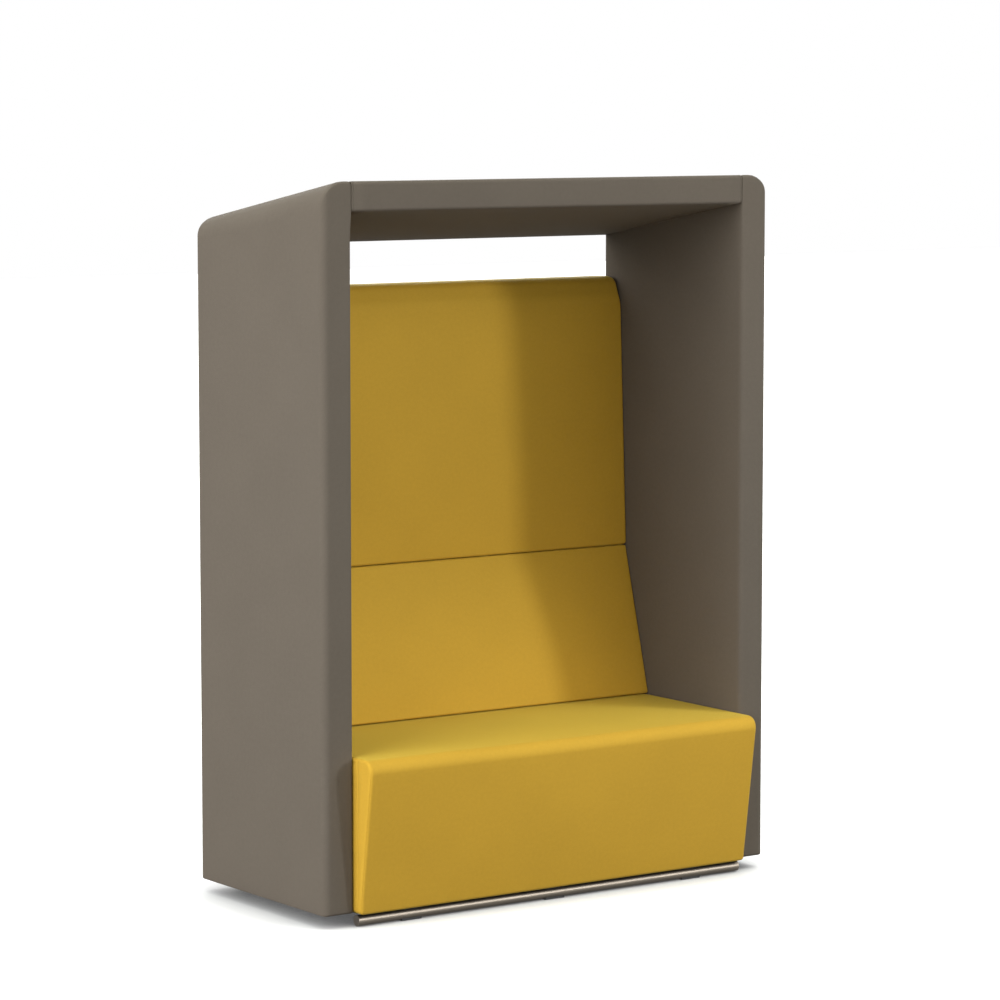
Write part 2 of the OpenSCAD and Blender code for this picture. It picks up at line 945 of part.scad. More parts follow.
module rail_caps() {
    color(steel)
        for (y = [front_rail_y, rear_rail_y], side = [-1, 1])
            translate([side * rail_length / 2, y, rail_z])
                rotate([0, side * 90, 0]) {
                    cylinder(r = rail_radius, h = cap_flange);
                    translate([0, 0, -cap_plug])
                        cylinder(r = rail_radius - rail_wall - fit / 2, h = cap_plug);
                }
}

module rail_glides() {
    color(black)
        for (y = [front_rail_y, rear_rail_y])
            difference() {
                for (share = saddle_shares)
                    translate([share * saddle_reach - glide_length / 2, y - glide_width / 2, 0])
                        cube([glide_length, glide_width, rail_z - rail_radius / 2]);
                along_rail(y, rail_radius + fit / 2, cabin_width);
            }
}

// Each saddle is a block on the tube under a plate that reaches toward the middle
module place_saddles() {
    for (share = saddle_shares) {
        translate([share * saddle_reach, front_rail_y, 0])
            children();
        translate([share * saddle_reach, rear_rail_y, 0])
            mirror([0, 1, 0])
                children();
    }
}

module rail_saddles() {
    block_bottom = rail_z + rail_radius / 2;
    color(steel)
        difference() {
            place_saddles() {
                translate([-saddle_width / 2, -saddle_block / 2, block_bottom])
                    cube([saddle_width, saddle_block, saddle_top - block_bottom]);
                translate([-saddle_width / 2, -saddle_block / 2, saddle_top - saddle_plate])
                    cube([saddle_width, saddle_length, saddle_plate]);
            }
            along_rail(front_rail_y, rail_radius + fit / 2, cabin_width);
            along_rail(rear_rail_y, rail_radius + fit / 2, cabin_width);
            saddle_screw_bars(hole_gap);
        }
}

screw_head = 4;
screw_rise = 16;
screw_spread_share = 0.3;

module saddle_screw_places() {
    place_saddles()
        for (side = [-1, 1])
            translate([
                side * saddle_width * screw_spread_share,
                saddle_length - saddle_block / 2 - plate_margin,
                saddle_top - saddle_plate
            ])
                children();
}

module saddle_screw_bars(gap) {
    saddle_screw_places()
        translate([0, 0, -overrun])
            cylinder(r = screw_dia / 2 + gap, h = overrun + saddle_plate + cloth_thick + screw_rise + fit);
}

module saddle_screws() {
    color(zinc)
        saddle_screw_places() {
            cylinder(r = screw_dia / 2, h = saddle_plate + cloth_thick + screw_rise);
            translate([0, 0, -screw_dia / 2])
                cylinder(r1 = screw_dia / 2, r2 = screw_head, h = screw_dia / 2);
        }
}

module joining_studs() {
    color(zinc) {
        place_right_wall()
            stud_bars(stud_dia / 2, nut_thick + fit, stud_reach);
        place_left_wall()
            stud_bars(stud_dia / 2, nut_thick + fit, stud_reach);
    }
}

module wall_nuts() {
    for (p = stud_places)
        translate([-p[2] - nut_thick, p[0], p[1]])
            rotate([0, 90, 0])
                difference() {
                    cylinder(d = nut_across / cos(30), h = nut_thick, $fn = 6);
                    translate([0, 0, -overrun])
                        cylinder(r = stud_dia / 2 + fit / 2, h = nut_thick + 2 * overrun);
                }
}

module joining_nuts() {
    color(zinc) {
        place_right_wall()
            wall_nuts();
        place_left_wall()
            wall_nuts();
    }
}

// Bolts that hold the seat box to the rail between the ribs
seat_bolt_z = 230;
seat_bolt_length = 60;
seat_bolt_dia = 8;
bolt_head = 5;
washer_radius = 10;

module seat_bolt_places() {
    for (share = [-1, 0, 1])
        translate([share * rib_spacing + seat_bolt_shift, box_outline[1][0] - seat_board, seat_bolt_z])
            rotate([-90, 0, 0])
                children();
}
seat_bolt_shift = 60;

module seat_bolt_bars(gap, start) {
    seat_bolt_places()
        translate([0, 0, -start])
            cylinder(r = seat_bolt_dia / 2 + gap, h = seat_bolt_length + start + fit);
}

module seat_bolts() {
    color(zinc)
        seat_bolt_places() {
            cylinder(r = seat_bolt_dia / 2, h = seat_bolt_length);
            translate([0, 0, -bolt_head])
                cylinder(r = washer_radius, h = bolt_head);
        }
}

// Screws through the two boards into the ribs, square to each board
lower_screw_shares = [0.2, 0.75];
upper_screw_shares = [0.12, 0.5, 0.88];

module board_screw_places() {
    for (rib = rib_shares) {
        for (share = lower_screw_shares) {
            z = lower_bottom_z + (lower_top_z - lower_bottom_z) * share;
            translate([rib * rib_outer_x, lower_face(z) + lower_depth - back_board, z])
                rotate([-90 - lower_back_lean, 0, 0])
                    children();
        }
        for (share = upper_screw_shares) {
            z = upper_bottom_z + (rib_top_z - upper_bottom_z) * share;
            translate([rib * rib_outer_x, upper_face(z) + upper_depth - back_board, z])
                rotate([-90 - upper_back_lean, 0, 0])
                    children();
        }
    }
}

module board_screw_bars(gap) {
    board_screw_places() {
        cylinder(r = screw_dia / 2 + gap, h = screw_length + fit);
        translate([0, 0, -fit])
            cylinder(r1 = screw_head + gap + fit, r2 = screw_dia / 2 + gap, h = screw_dia / 2 + fit);
    }
}

module board_screws() {
    color(zinc)
        board_screw_places() {
            cylinder(r = screw_dia / 2, h = screw_length);
            cylinder(r1 = screw_head, r2 = screw_dia / 2, h = screw_dia / 2);
        }
}

left_wall_cover();
left_wall_foam();
left_wall_frame();
left_wall_absorber();
left_wall_base();
right_wall_cover();
right_wall_foam();
right_wall_frame();
right_wall_absorber();
right_wall_base();
roof_cover();
roof_foam_skin();  // roof_foam
roof_frame();
roof_absorber();
seat_cover();
seat_foam();
seat_webbing();
seat_frame();
dust_cloth();
lower_back_cover();
lower_back_foam();
lower_back_board();
upper_back_cover();
upper_back_foam();
upper_back_board();
back_ribs();
back_rails();
rear_panel_board();
rear_panel_cover();
front_rail();
rear_rail();
rail_caps();
rail_saddles();
saddle_screws();
rail_glides();
joining_studs();
joining_nuts();
seat_bolts();
board_screws();
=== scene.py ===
# %% [markdown]
# # A high back lounge booth for two
# The real object is a small room for two people in an open office. Two thick upholstered walls
# stand at the sides, a sloping roof panel joins them, and a mustard seat and a two-part back fill
# the space between. Two steel tubes carry everything a few millimetres above the floor.
# A measured model of the booth exists already. It is loaded first and stays fixed. Its hard parts
# only get finishes here, and its plain fabric covers are replaced by fuller ones.

# %% Load the measured model
import math

import bmesh
import bpy
import numpy as np
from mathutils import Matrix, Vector
from mathutils.kdtree import KDTree


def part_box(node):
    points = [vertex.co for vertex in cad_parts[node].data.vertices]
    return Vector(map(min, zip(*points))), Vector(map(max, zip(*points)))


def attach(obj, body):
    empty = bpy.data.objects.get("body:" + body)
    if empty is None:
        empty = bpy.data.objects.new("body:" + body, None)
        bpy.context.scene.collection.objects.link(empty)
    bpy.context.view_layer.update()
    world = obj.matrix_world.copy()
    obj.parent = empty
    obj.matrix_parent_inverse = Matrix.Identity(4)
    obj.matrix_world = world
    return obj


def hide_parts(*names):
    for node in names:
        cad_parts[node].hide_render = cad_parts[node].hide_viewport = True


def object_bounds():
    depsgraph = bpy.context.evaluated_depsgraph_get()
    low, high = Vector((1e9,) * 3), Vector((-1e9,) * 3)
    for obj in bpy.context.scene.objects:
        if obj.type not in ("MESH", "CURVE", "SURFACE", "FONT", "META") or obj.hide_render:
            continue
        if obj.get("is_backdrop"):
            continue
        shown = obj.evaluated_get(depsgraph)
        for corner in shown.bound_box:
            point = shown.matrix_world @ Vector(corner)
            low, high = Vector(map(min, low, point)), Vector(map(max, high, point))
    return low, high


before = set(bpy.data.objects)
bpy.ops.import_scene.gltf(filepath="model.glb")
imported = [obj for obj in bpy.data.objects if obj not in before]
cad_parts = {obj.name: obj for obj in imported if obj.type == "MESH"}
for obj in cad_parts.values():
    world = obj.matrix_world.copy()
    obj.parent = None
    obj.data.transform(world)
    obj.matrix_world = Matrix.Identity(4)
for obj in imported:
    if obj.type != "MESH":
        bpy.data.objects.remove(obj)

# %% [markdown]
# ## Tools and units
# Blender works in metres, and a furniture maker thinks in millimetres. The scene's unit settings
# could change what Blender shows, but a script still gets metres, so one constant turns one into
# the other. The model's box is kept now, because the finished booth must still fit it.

MM = 0.001
model_low, model_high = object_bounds()
print("the model's box in mm:", [round(v / MM) for v in model_high - model_low])

# %% [markdown]
# ## The camera
# The photograph was taken with a long lens from the left, a little above the booth. A camera could
# simply be aimed at the booth until the view looks right. Here its place was worked out from the
# straight edges in the picture instead, so that the render can be laid over the photograph.

# %% Place the camera
camera_place = (-5.8788, -8.3868, 2.1064)
camera_yaw = math.radians(-35.12)
camera_dip = math.radians(6.03)
focal_length_mm = 140.14

camera_data = bpy.data.cameras.new("camera")
camera_data.lens = focal_length_mm
camera_data.sensor_width = 36.0
camera_data.clip_end = 60.0
camera = bpy.data.objects.new("camera", camera_data)
camera.location = camera_place
camera.rotation_euler = (math.radians(90) - camera_dip, 0.0, camera_yaw)
bpy.context.scene.collection.objects.link(camera)
bpy.context.scene.camera = camera
bpy.context.scene.view_settings.view_transform = "Standard"
print("camera", round(Vector(camera_place).length, 2), "m from the middle of the floor")

# %% [markdown]
# ## Daylight in a white studio
# A furniture photograph is lit by very large soft lamps. Area lamps could do it all, but they fall
# off with distance. Sun lamps with a wide angle are as soft and light the whole booth evenly.
# The key comes from the right front and throws the right wall's shadow on the back. Washes from
# the left light the outer wall, a fill comes from the front, and a light from behind keeps the
# rear from going black. The lights from above are a little cool, like sky, and two of them slip
# under the roof's edge to reach the seat. Two softboxes add a glow on the rounded edges.

# %% Lamps
def soft_lamp(name, azimuth, elevation, spread, strength, tint=(1.0, 1.0, 1.0)):
    """A wide sun lamp. Azimuth 0 shines from the front and 90 from the right."""
    data = bpy.data.lights.new(name, "SUN")
    data.energy = strength
    data.color = tint
    data.angle = math.radians(spread)
    lamp = bpy.data.objects.new(name, data)
    a = math.radians(azimuth)
    e = math.radians(elevation)
    towards_lamp = Vector((math.sin(a) * math.cos(e), -math.cos(a) * math.cos(e), math.sin(e)))
    lamp.rotation_euler = towards_lamp.to_track_quat("Z", "Y").to_euler()
    bpy.context.scene.collection.objects.link(lamp)
    return lamp


def soft_box(name, place, target, width, power):
    """A square studio lamp of that width, aimed at a target."""
    data = bpy.data.lights.new(name, "AREA")
    data.energy = power
    data.size = width
    lamp = bpy.data.objects.new(name, data)
    lamp.location = place
    lamp.rotation_euler = (Vector(place) - Vector(target)).to_track_quat("Z", "Y").to_euler()
    bpy.context.scene.collection.objects.link(lamp)
    return lamp


cool_sky = (0.95, 1.0, 0.93)
soft_lamp("key from the right front", 36.5, 14.0, 7.5, 1.02)
soft_lamp("wash from the left", -80.0, 10.0, 50.0, 2.95)
soft_lamp("wash on the left wall", -98.0, 14.0, 30.0, 1.40)
soft_lamp("fill from the front", 0.0, 10.0, 50.0, 0.92)
soft_lamp("light from behind", 150.0, 22.0, 50.0, 2.2)
soft_lamp("light from above", -30.0, 80.0, 60.0, 0.95, cool_sky)
soft_lamp("light on the seat", 10.0, 70.0, 18.0, 0.42, cool_sky)
soft_lamp("light on the seat from the right", 35.0, 62.0, 18.0, 0.29, cool_sky)
soft_box("softbox on the left", (-3.6, -1.2, 2.1), (-0.7, 0.0, 1.1), 2.5, 38)
soft_box("softbox on the right", (2.3, -2.3, 2.6), (-0.3, -0.2, 0.5), 1.6, 34)
print("lamps:", len(bpy.data.lights))

# %% [markdown]
# ## The white room
# Behind the booth there is only white. A bright world would give that, but it would also flood
# the booth with light from all sides. So a Light Path node tells the rays apart: what the camera
# sees, and what shines back from metal, is pure white, while the booth gets a faint glow.

# %% The world
world = bpy.data.worlds.new("white room")
bpy.context.scene.world = world
world.use_nodes = True
nodes = world.node_tree.nodes
links = world.node_tree.links
nodes.clear()


def math_node(nodes, links, operation, first, second=None):
    """One step of arithmetic on node outputs or plain numbers."""
    node = nodes.new("ShaderNodeMath")
    node.operation = operation
    for socket, value in zip(node.inputs, (first, second)):
        if value is None:
            continue
        if isinstance(value, (int, float)):
            socket.default_value = value
        else:
            links.new(value, socket)
    return node.outputs[0]


def seen_directly(nodes, links):
    """1 for rays that show the background as a picture: camera, glossy and transmission rays."""
    path = nodes.new("ShaderNodeLightPath").outputs
    mirrored = math_node(nodes, links, "MAXIMUM", path["Is Camera Ray"], path["Is Glossy Ray"])
    return math_node(nodes, links, "MAXIMUM", mirrored, path["Is Transmission Ray"])


room_glow = 0.05
glow = nodes.new("ShaderNodeBackground")
glow.inputs["Color"].default_value = (1.0, 1.0, 1.0, 1.0)
glow.inputs["Strength"].default_value = room_glow
white = nodes.new("ShaderNodeBackground")
white.inputs["Color"].default_value = (1.0, 1.0, 1.0, 1.0)
white.inputs["Strength"].default_value = 1.0
choice = nodes.new("ShaderNodeMixShader")
links.new(seen_directly(nodes, links), choice.inputs["Fac"])
links.new(glow.outputs[0], choice.inputs[1])
links.new(white.outputs[0], choice.inputs[2])
room = nodes.new("ShaderNodeOutputWorld")
links.new(choice.outputs[0], room.inputs["Surface"])
print("room glow", room_glow)

# %% [markdown]
# ## The floor
# The floor is a large white plane. A plain white material would throw a lot of light up at the
# booth, so a Light Path node lets the floor look white only to the camera, and a little less so
# in metal. A faint glow lifts the open floor to white. An Ambient Occlusion node finds where the
# booth closes the floor in. There the glow goes and the paint darkens: painted shade under and
# beside the booth, on top of the lamps' own shadows.

# %% Floor
floor_half = 30.0
paint_tone, tone_given_back = 0.93, 0.10
glow_in_the_open, least_glow = 0.42, 0.10
shade_reach = 0.20
share_in_metal = 0.6
floor_mesh = bpy.data.meshes.new("floor")
floor_corners = [
    (-floor_half, -floor_half, 0), (floor_half, -floor_half, 0),
    (floor_half, floor_half, 0), (-floor_half, floor_half, 0),
]
floor_mesh.from_pydata(floor_corners, [], [(0, 1, 2, 3)])
floor = bpy.data.objects.new("floor", floor_mesh)
bpy.context.scene.collection.objects.link(floor)
floor_paint = bpy.data.materials.new("white floor paint")
floor_paint.use_nodes = True
nodes = floor_paint.node_tree.nodes
links = floor_paint.node_tree.links
nodes.clear()
# Painted shade: near the booth the Ambient Occlusion darkens the floor's paint and dims its glow.
closeness = nodes.new("ShaderNodeAmbientOcclusion")
closeness.inputs["Distance"].default_value = shade_reach
closeness.samples = 12
openness = closeness.outputs["AO"]
shown = nodes.new("ShaderNodeBsdfDiffuse")
painted_floor_shade = math_node(nodes, links, "POWER", openness, 0.5)
tone = math_node(nodes, links, "MULTIPLY", painted_floor_shade, paint_tone)
links.new(tone, shown.inputs["Color"])
floor_glow = nodes.new("ShaderNodeEmission")
openness_squared = math_node(nodes, links, "POWER", openness, 2.0)
open_glow = math_node(nodes, links, "MULTIPLY", openness_squared, glow_in_the_open)
glow_strength = math_node(nodes, links, "ADD", open_glow, least_glow)
links.new(glow_strength, floor_glow.inputs["Strength"])
lifted = nodes.new("ShaderNodeAddShader")
links.new(shown.outputs[0], lifted.inputs[0])
links.new(floor_glow.outputs[0], lifted.inputs[1])
given_back = nodes.new("ShaderNodeBsdfDiffuse")
given_back.inputs["Color"].default_value = (*[tone_given_back] * 3, 1.0)
choice = nodes.new("ShaderNodeMixShader")
path = nodes.new("ShaderNodeLightPath").outputs
in_metal = math_node(nodes, links, "MULTIPLY", path["Is Glossy Ray"], share_in_metal)
links.new(math_node(nodes, links, "MAXIMUM", path["Is Camera Ray"], in_metal), choice.inputs["Fac"])
links.new(given_back.outputs[0], choice.inputs[1])
links.new(lifted.outputs[0], choice.inputs[2])
out = nodes.new("ShaderNodeOutputMaterial")
links.new(choice.outputs[0], out.inputs["Surface"])
floor_mesh.materials.append(floor_paint)
floor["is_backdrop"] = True
print("floor", 2 * floor_half, "m wide")

# %% [markdown]
# ## Upholstery cloth
# Both cloths are woven wool: warp and weft threads about a millimetre apart, with tones that
# wander a little from thread to thread and from one hand's breadth to the next. A picture of
# cloth would blur close up. A formula over the cloth's own coordinates, which each piece below
# carries in metres, stays sharp and keeps the threads at their real size everywhere.

# %% Cloth material
def mix_colours(nodes, links, amount, first, second):
    """A blend of two colours, by an amount from 0 to 1."""
    node = nodes.new("ShaderNodeMix")
    node.data_type = "RGBA"
    links.new(amount, node.inputs["Factor"])
    for socket, value in ((node.inputs[6], first), (node.inputs[7], second)):
        if isinstance(value, tuple):
            socket.default_value = (*value, 1.0)
        else:
            links.new(value, socket)
    return node.outputs[2]


def noise(nodes, links, place, scale, detail, low, high):
    """Cloudy values stretched to run from 0 to 1."""
    cloud = nodes.new("ShaderNodeTexNoise")
    cloud.inputs["Scale"].default_value = scale
    cloud.inputs["Detail"].default_value = detail
    links.new(place, cloud.inputs["Vector"])
    spread = nodes.new("ShaderNodeMapRange")
    spread.inputs["From Min"].default_value = low
    spread.inputs["From Max"].default_value = high
    links.new(cloud.outputs["Fac"], spread.inputs["Value"])
    return spread.outputs["Result"]


def woven_cloth(name, colour, glint, thread, sheen, shine, roughness):
    """Wool cloth of one colour, with glints of another, woven from threads of that width in metres."""
    material = bpy.data.materials.new(name)
    material.use_nodes = True
    nodes = material.node_tree.nodes
    links = material.node_tree.links
    nodes.clear()
    out = nodes.new("ShaderNodeOutputMaterial")
    shader = nodes.new("ShaderNodeBsdfPrincipled")
    links.new(shader.outputs[0], out.inputs["Surface"])
    shader.inputs["Roughness"].default_value = roughness
    shader.inputs["Specular IOR Level"].default_value = shine
    shader.inputs["Specular Tint"].default_value = (*glint, 1.0)
    shader.inputs["Sheen Weight"].default_value = sheen
    shader.inputs["Sheen Roughness"].default_value = 0.45
    shader.inputs["Sheen Tint"].default_value = (*glint, 1.0)

    cloth = nodes.new("ShaderNodeUVMap")
    cloth.uv_map = "cloth"
    split = nodes.new("ShaderNodeSeparateXYZ")
    links.new(cloth.outputs["UV"], split.inputs[0])
    turn = math.pi / thread
    warp = math_node(nodes, links, "SINE", math_node(nodes, links, "MULTIPLY", split.outputs[0], turn))
    weft = math_node(nodes, links, "SINE", math_node(nodes, links, "MULTIPLY", split.outputs[1], turn))
    over = math_node(nodes, links, "MULTIPLY", warp, weft)
    hump = math_node(nodes, links, "MULTIPLY_ADD", over, 0.5)
    hump.node.inputs[2].default_value = 0.5

    fibres = noise(nodes, links, cloth.outputs["UV"], 1 / (1.1 * thread), 3.0, 0.3, 0.7)
    slubs = noise(nodes, links, cloth.outputs["UV"], 1 / (9 * thread), 2.0, 0.3, 0.7)
    clouds = noise(nodes, links, cloth.outputs["UV"], 5.0, 2.0, 0.3, 0.7)
    dark_fibre = tuple(0.86 * c for c in colour)
    light_fibre = tuple(1.14 * c for c in colour)
    melange = mix_colours(nodes, links, fibres, dark_fibre, light_fibre)
    # Painted shade and light in the weave: the colour is darker between the threads and lighter on their
    # tops.
    shade_painted_between_threads = tuple(0.9 * c for c in colour)
    light_painted_on_threads = tuple(1.06 * c for c in colour)
    painted_weave_shading = mix_colours(nodes, links, hump, shade_painted_between_threads, light_painted_on_threads)
    woven = nodes.new("ShaderNodeMix")
    woven.data_type = "RGBA"
    woven.inputs["Factor"].default_value = 0.5
    links.new(melange, woven.inputs[6])
    links.new(painted_weave_shading, woven.inputs[7])
    tone = math_node(nodes, links, "ADD", slubs, clouds)
    shade = nodes.new("ShaderNodeMapRange")
    shade.inputs["From Max"].default_value = 2.0
    shade.inputs["To Min"].default_value = 0.955
    shade.inputs["To Max"].default_value = 1.045
    links.new(tone, shade.inputs["Value"])
    dyed = nodes.new("ShaderNodeVectorMath")
    dyed.operation = "SCALE"
    links.new(woven.outputs[2], dyed.inputs[0])
    links.new(shade.outputs["Result"], dyed.inputs["Scale"])
    links.new(dyed.outputs[0], shader.inputs["Base Color"])

    relief = math_node(nodes, links, "ADD", hump, math_node(nodes, links, "MULTIPLY", fibres, 0.6))
    bump = nodes.new("ShaderNodeBump")
    bump.inputs["Strength"].default_value = 0.35
    bump.inputs["Distance"].default_value = 0.25 * thread
    links.new(relief, bump.inputs["Height"])
    links.new(bump.outputs[0], shader.inputs["Normal"])
    return material


taupe, taupe_glint = (0.118, 0.100, 0.080), (1.0, 0.92, 0.78)
mustard, mustard_glint = (0.506, 0.291, 0.032), (0.95, 1.0, 0.20)
taupe_cloth = woven_cloth(
    "taupe wool", taupe, taupe_glint, thread=1.3 * MM, sheen=0.05, shine=0.15, roughness=0.85,
)
mustard_cloth = woven_cloth(
    "mustard wool", mustard, mustard_glint, thread=1.1 * MM, sheen=0.22, shine=0.33, roughness=0.62,
)
print("cloths:", taupe_cloth.name, "and", mustard_cloth.name)

# %% [markdown]
# ## Flat geometry for the pads' outlines
# From the side, every upholstered piece of the booth is a four or five sided outline with rounded
# corners. A curve object could hold such an outline, but here each piece needs many slightly
# smaller copies of it, so the points are worked out: these helpers move the sides inward, round
# the corners and let the sides bulge.

# %% Outlines with rounded corners
def unit(v):
    """The same direction, one long."""
    return v / np.linalg.norm(v)


def inward(direction):
    """The direction to the left, which is inward for an outline that runs counter-clockwise."""
    return np.array([-direction[1], direction[0]])


def crossing(p, u, q, v):
    """Where the line from p along u meets the line from q along v."""
    between = q - p
    return p + u * (between[0] * v[1] - between[1] * v[0]) / (u[0] * v[1] - u[1] * v[0])


def drawn_in(corners, distances):
    """The corners after each side has moved inward by its own distance."""
    count = len(corners)
    moved = []
    for i in range(count):
        before, here, after = corners[i - 1], corners[i], corners[(i + 1) % count]
        u = unit(here - before)
        v = unit(after - here)
        moved.append(crossing(here + inward(u) * distances[i - 1], u, here + inward(v) * distances[i], v))
    return moved


def swell(share):
    """A crown's height from one end, -1, to the other, 1."""
    return (1 - share ** 2) * (1 + 0.35 * share ** 2)


def ring(corners, radii, bulges, rise, arc_steps, side_steps):
    """Points round the outline, the same number whatever its size: an arc, then a side, and so on."""
    count = len(corners)
    arcs = []
    for i in range(count):
        before, here, after = corners[i - 1], corners[i], corners[(i + 1) % count]
        u = unit(before - here)
        v = unit(after - here)
        half = math.acos(float(np.clip(u @ v, -1, 1))) / 2
        centre = here + unit(u + v) * radii[i] / math.sin(half)
        start = here + u * radii[i] / math.tan(half) - centre
        sweep = math.pi - 2 * half
        arc = []
        for k in range(arc_steps + 1):
            turn = sweep * k / arc_steps
            c, s = math.cos(turn), math.sin(turn)
            arc.append(centre + np.array([start[0] * c - start[1] * s, start[0] * s + start[1] * c]))
        arcs.append(arc)
    points = []
    for i in range(count):
        points += arcs[i]
        first = arcs[i][-1]
        last = arcs[(i + 1) % count][0]
        out = -inward(unit(last - first)) * bulges[i] * rise
        for k in range(1, side_steps):
            s = k / side_steps
            points.append(first + (last - first) * s + out * swell(2 * s - 1))
    return np.array(points)


# %% [markdown]
# ## Lofting a pad
# A pad could be a cube with a Bevel modifier, but that rounds every edge alike, and a real pad has
# crisp edges where it is sewn and soft ones where foam turns the corner. So a pad is a row of
# outlines from one end to the other. Near an end each one is drawn in, more and more, which
# rounds the edges, and the cover's sewn seam runs round in a shallow groove. The ends are closed
# by rings that shrink to a point, so that they can swell a little as well.

# %% Loft
def edge_inset(distance, radius):
    """How far a side is drawn in at a distance from the end, for an edge of that radius."""
    if distance >= radius:
        return 0.0
    return radius - math.sqrt(radius ** 2 - (radius - distance) ** 2)


def end_distances(radii, steps):
    """Distances from an end at which rings are needed, close together where the edge turns."""
    found = set()
    for radius in radii:
        for k in range(steps + 1):
            found.add(round(radius * (1 - math.cos(math.pi / 2 * k / steps)), 6))
    kept = []
    for distance in sorted(found):
        if not kept or distance - kept[-1] > 0.4 * MM:
            kept.append(distance)
    return kept


cap_shares = (0.97, 0.9, 0.8, 0.65, 0.5, 0.35, 0.2)


def loft(name, stations, rings, cap_crowns=(0.0, 0.0)):
    """A closed mesh through the rings, with the cloth's own coordinates in metres."""
    count = len(rings[0])
    points = []
    for x, outline in zip(stations, rings):
        points += [(x, y, z) for y, z in outline]
    wide = rings[len(rings) // 2]
    lengths = np.linalg.norm(np.roll(wide, -1, axis=0) - wide, axis=1)
    around = np.concatenate([[0.0], np.cumsum(lengths)])
    faces = []
    cloth = []
    for i in range(len(rings) - 1):
        for j in range(count):
            k = (j + 1) % count
            faces.append((i * count + j, (i + 1) * count + j, (i + 1) * count + k, i * count + k))
            cloth.append((
                (stations[i], around[j]), (stations[i + 1], around[j]),
                (stations[i + 1], around[j + 1]), (stations[i], around[j + 1]),
            ))
    for end, side in ((0, -1), (len(rings) - 1, 1)):
        edge = rings[end]
        middle = edge.mean(axis=0)
        previous = [end * count + j for j in range(count)]
        for share in cap_shares:
            x = stations[end] + side * cap_crowns[0 if side < 0 else 1] * (1 - share ** 4)
            base = len(points)
            points += [(x, *(middle + (p - middle) * share)) for p in edge]
            current = [base + j for j in range(count)]
            for j in range(count):
                k = (j + 1) % count
                corners = (previous[j], previous[k], current[k], current[j])
                faces.append(corners)
                cloth.append(tuple((points[c][1], points[c][2]) for c in corners))
            previous = current
        x = stations[end] + side * cap_crowns[0 if side < 0 else 1]
        points.append((x, *middle))
        for j in range(count):
            corners = (previous[j], previous[(j + 1) % count], len(points) - 1)
            faces.append(corners)
            cloth.append(tuple((points[c][1], points[c][2]) for c in corners))
    mesh = bpy.data.meshes.new(name)
    mesh.from_pydata(points, [], faces)
    layer = mesh.uv_layers.new(name="cloth")
    layer.data.foreach_set("uv", np.array([c for face in cloth for c in face], np.float32).ravel())
    work = bmesh.new()
    work.from_mesh(mesh)
    bmesh.ops.recalc_face_normals(work, faces=work.faces)
    work.to_mesh(mesh)
    work.free()
    mesh.polygons.foreach_set("use_smooth", [True] * len(mesh.polygons))
    piece = bpy.data.objects.new(name, mesh)
    bpy.context.scene.collection.objects.link(piece)
    return piece


def upholstered(name, corners, radii, bulges, low_x, high_x, low_edges, high_edges, seam=None,
                cap_crowns=(0.0, 0.0), arc_steps=8, side_steps=16, least_round=3 * MM, crown_stations=13,
                reshape=None):
    """A closed pad between two ends, with an edge radius of its own for each side at each end."""
    corners = [np.array(c, float) for c in corners]
    flat_low = low_x + max(low_edges)
    flat_high = high_x - max(high_edges)
    stations = [low_x + d for d in end_distances(set(low_edges), 7)]
    stations += [high_x - d for d in end_distances(set(high_edges), 7)]
    stations += list(np.linspace(flat_low, flat_high, crown_stations))
    if seam:
        place, width, depth = seam
        for x in (low_x + place, high_x - place):
            stations = [s for s in stations if abs(s - x) > 1.01 * width]
            stations += [x - width, x - width / 2, x, x + width / 2, x + width]
    stations = sorted(stations)
    stations = [s for i, s in enumerate(stations) if i == 0 or s - stations[i - 1] > 0.05 * MM]
    rings = []
    for x in stations:
        insets = [
            edge_inset(max(x - low_x, 0.0), low) + edge_inset(max(high_x - x, 0.0), high)
            for low, high in zip(low_edges, high_edges)
        ]
        if seam:
            near = min(abs(x - low_x - place), abs(high_x - place - x))
            groove = depth * max(0.0, 1 - (near / width) ** 2)
            insets = [inset + groove for inset in insets]
        share = 0.0
        if flat_high > flat_low:
            share = (2 * x - flat_low - flat_high) / (flat_high - flat_low)
        rise = swell(share) if abs(share) < 1 else 0.0
        drawn = drawn_in(corners, insets)
        count = len(corners)
        rounds = [max(radii[i] - max(insets[i - 1], insets[i]), least_round) for i in range(count)]
        outline = ring(drawn, rounds, bulges, rise, arc_steps, side_steps)
        if reshape:
            outline = reshape(x, outline)
        rings.append(outline)
    return loft(name, stations, rings, cap_crowns)


def dress(piece, cloth, slot, *nodes, fill=None):
    """Gives a piece its cloth, hides the measured nodes it stands for and hangs it on the root."""
    piece.data.materials.append(cloth)
    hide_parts(*nodes)
    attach(piece, "root")
    low, high = Vector(piece.bound_box[0]), Vector(piece.bound_box[6])
    print(piece.name, "in mm:", [round(v / MM) for v in high - low], len(piece.data.vertices), "points")


# %% [markdown]
# ## Foam that presses on the cover
# A pad looks soft because its foam presses the cover outward while the sewn ends hold it back.
# A smooth bulge by formula comes close, but cloth simulation finds the real shape. A skin of small
# even faces is drawn over a pad, held where the real cover is stapled or sewn, and blown up for
# twenty frames with no gravity. The skin itself would lose the seams, so the pad's own points
# follow the skin instead, and the seams and crisp edges stay as they were sewn.

# %% Swelling by cloth simulation
foam_pressure = 4.0
last_frame = 20


def smooth_step(value, low, high):
    """0 below low, 1 above high and a smooth rise between."""
    share = np.clip((value - low) / (high - low), 0, 1)
    return share * share * (3 - 2 * share)


def positions(mesh):
    """The mesh's points as rows of x, y and z."""
    found = np.empty(3 * len(mesh.vertices))
    mesh.vertices.foreach_get("co", found)
    return found.reshape(-1, 3)


